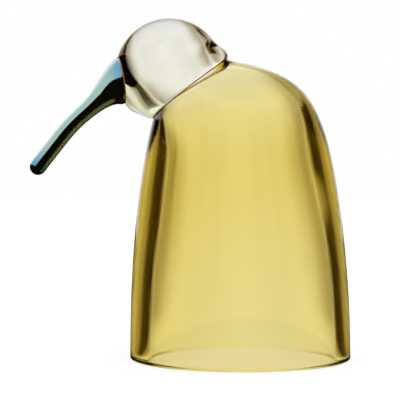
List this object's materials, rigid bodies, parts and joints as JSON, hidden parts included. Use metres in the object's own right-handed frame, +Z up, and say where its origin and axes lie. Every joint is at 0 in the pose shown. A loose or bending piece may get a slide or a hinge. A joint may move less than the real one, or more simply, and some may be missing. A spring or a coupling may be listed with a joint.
{
  "type": "glass bird figurine",
  "caption": "Free-standing hollow glass bird: a thick amber bell open at its flat rim, a clear ball head and a slim, dark, down-curved bill with a flared foot.",
  "frame": {"origin": "centre of the ground rim, on the surface the bird stands on", "axes": "+Z up; the bill points to -X and, by ten degrees, to -Y; the body and head are symmetric about the XZ plane"},
  "size_m": [0.1866, 0.1292, 0.1993],
  "materials": {
    "amber_glass": "polished transparent amber-yellow glass, deeper in colour where it is thick",
    "clear_glass": "polished clear glass with a faint grey-olive tint",
    "seam_glass": "thin red-brown colour glass fused into the joins",
    "bill_glass": "opaque black-teal glass with a metallic lustre"
  },
  "bodies": {
    "root": {"body_bell": "amber_glass", "neck_seam": "seam_glass", "head_ball": "clear_glass", "bill_seam": "seam_glass", "bill": "bill_glass"}
  },
  "joints": []
}
